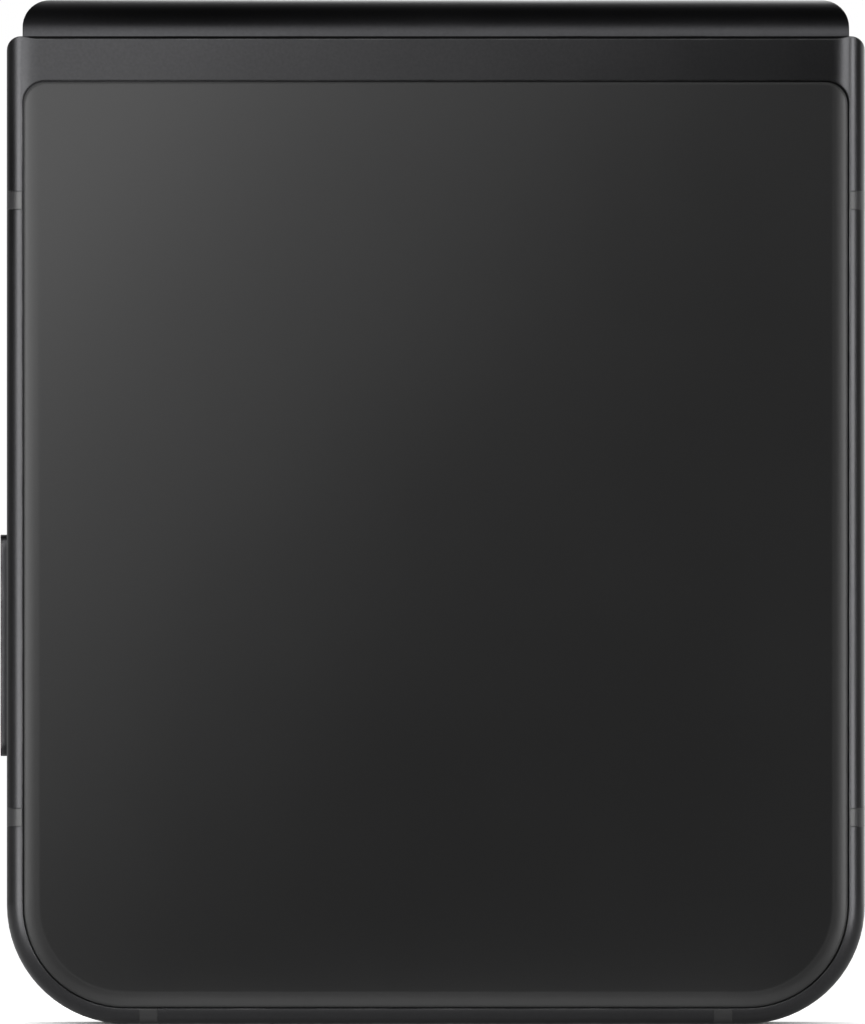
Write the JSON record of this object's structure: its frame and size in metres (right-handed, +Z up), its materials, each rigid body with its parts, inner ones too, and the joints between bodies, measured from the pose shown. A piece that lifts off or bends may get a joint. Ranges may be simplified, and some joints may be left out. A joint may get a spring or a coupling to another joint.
{
  "type": "flip phone",
  "caption": "Flip phone with a folding screen, shut and standing on its far edges, with a two-axis geared hinge, two cameras, keys and a card tray.",
  "frame": {"origin": "middle of the bounding box at its base: the phone is shut and stands on the far edges of its two halves, hinge on top", "axes": "+Z up, from the far edges to the hinge; +X across the phone, to the right as the half with the charging port is looked at; +Y through its thickness, from the half with the charging port (at -Y) to the half with the cameras"},
  "size_m": [0.0729, 0.0176, 0.0862],
  "materials": {
    "case_metal": "black anodised, satin",
    "spine_metal": "black anodised, satin",
    "tray_metal": "black anodised",
    "key_metal": "black anodised",
    "ring_metal": "black anodised, turned",
    "band_plastic": "moulded, matt",
    "back_glass": "dark, frosted",
    "window_glass": "black, glossy",
    "lens_glass": "black, coated",
    "glue": "black adhesive foam",
    "battery_cell": "foil pouch",
    "coil_copper": "enamelled winding on a black sheet",
    "circuit_board": "green solder mask",
    "steel": "stamped sheet",
    "hinge_steel": "machined",
    "spring_steel": "drawn wire",
    "screw_steel": "blackened",
    "magnet_nickel": "nickel plated",
    "black_plastic": "moulded",
    "bezel_plastic": "moulded, matt",
    "rubber": "soft pad",
    "screen": "black, switched off",
    "flash_plastic": "clear lens over a yellow diode",
    "flex_film": "amber film"
  },
  "bodies": {
    "lower_half": {"lower_frame": "case_metal", "lower_antenna_bands": "band_plastic", "lower_back_glass": "back_glass", "lower_glass_seal": "glue", "lower_battery": "battery_cell", "charging_coil": "coil_copper", "sub_board": "circuit_board", "port_shell": "steel", "port_tongue": "black_plastic", "loudspeaker": "black_plastic", "speaker_mesh": "steel", "haptic_motor": "steel", "lower_screen_plate": "steel", "lower_screen": "screen", "lower_bezel": "bezel_plastic", "lower_bumpers": "rubber", "lower_rotors": "hinge_steel", "lower_screws": "screw_steel", "lower_magnets": "magnet_nickel"},
    "hinge": {"hinge_spine": "spine_metal", "hinge_end_caps": "bezel_plastic", "hinge_blocks": "hinge_steel", "cam_followers": "hinge_steel", "hinge_springs": "spring_steel", "block_screws": "screw_steel", "screen_fold": "screen", "hinge_flex_cables": "flex_film"},
    "lower_arm_shafts": {"lower_arms": "hinge_steel", "lower_sync_shafts": "hinge_steel"},
    "lower_idler_gears": {"lower_idlers": "hinge_steel"},
    "upper_idler_gears": {"upper_idlers": "hinge_steel"},
    "upper_arm_shafts": {"upper_arms": "hinge_steel", "upper_sync_shafts": "hinge_steel"},
    "upper_half": {"upper_frame": "case_metal", "upper_antenna_bands": "band_plastic", "upper_back_glass": "back_glass", "upper_glass_seal": "glue", "cover_window": "window_glass", "cover_screen": "screen", "camera_rings": "ring_metal", "camera_lenses": "lens_glass", "camera_modules": "black_plastic", "flash_lens": "flash_plastic", "upper_battery": "battery_cell", "main_board": "circuit_board", "shield_cans": "steel", "earpiece": "black_plastic", "selfie_camera": "black_plastic", "upper_screen_plate": "steel", "upper_screen": "screen", "upper_bezel": "bezel_plastic", "upper_bumpers": "rubber", "upper_rotors": "hinge_steel", "upper_screws": "screw_steel", "upper_magnets": "magnet_nickel", "sim_socket": "steel", "key_switches": "black_plastic"},
    "sim_tray_body": {"sim_tray": "tray_metal"},
    "power_key_body": {"power_key": "key_metal"},
    "volume_key_body": {"volume_key": "key_metal"}
  },
  "joints": [
    {"name": "lower_fold", "type": "hinge", "parent": "lower_half", "child": "hinge", "pos_m": [0, -0.00193, 0.08131], "axis": [1, 0, 0], "range_deg": [0, 90.43], "deforming": ["screen_fold", "hinge_flex_cables"]},
    {"name": "upper_fold", "type": "hinge", "parent": "hinge", "child": "upper_half", "pos_m": [0, 0.00193, 0.08131], "axis": [1, 0, 0], "range_deg": [0, 90.43], "deforming": ["screen_fold", "hinge_flex_cables"]},
    {"name": "lower_arm_turn", "type": "hinge", "parent": "hinge", "child": "lower_arm_shafts", "pos_m": [0, -0.0039, 0.08346], "axis": [1, 0, 0], "range_deg": [-90.43, 0]},
    {"name": "lower_idler_turn", "type": "hinge", "parent": "hinge", "child": "lower_idler_gears", "pos_m": [0, -0.0013, 0.08346], "axis": [1, 0, 0], "range_deg": [0, 90.43]},
    {"name": "upper_idler_turn", "type": "hinge", "parent": "hinge", "child": "upper_idler_gears", "pos_m": [0, 0.0013, 0.08346], "axis": [1, 0, 0], "range_deg": [-90.43, 0]},
    {"name": "upper_arm_turn", "type": "hinge", "parent": "hinge", "child": "upper_arm_shafts", "pos_m": [0, 0.0039, 0.08346], "axis": [1, 0, 0], "range_deg": [0, 90.43]},
    {"name": "sim_tray_slide", "type": "slide", "parent": "upper_half", "child": "sim_tray_body", "axis": [1, 0, 0], "range_m": [0, 0.022]},
    {"name": "power_key_press", "type": "slide", "parent": "upper_half", "child": "power_key_body", "axis": [1, 0, 0], "range_m": [0, 0.0002], "stiffness_N_per_m": 3000, "springref_m": -0.0003},
    {"name": "volume_key_rock", "type": "hinge", "parent": "upper_half", "child": "volume_key_body", "pos_m": [-0.03335, 0.00413, 0.03181], "axis": [0, -1, 0.0075], "range_deg": [-0.9, 0.9], "stiffness_Nm_per_rad": 1}
  ],
  "couplings": [
    {"joint": "upper_fold", "follows": "lower_fold", "ratio": 1},
    {"joint": "lower_arm_turn", "follows": "lower_fold", "ratio": -1},
    {"joint": "lower_idler_turn", "follows": "lower_fold", "ratio": 1},
    {"joint": "upper_idler_turn", "follows": "lower_fold", "ratio": -1},
    {"joint": "upper_arm_turn", "follows": "lower_fold", "ratio": 1}
  ]
}
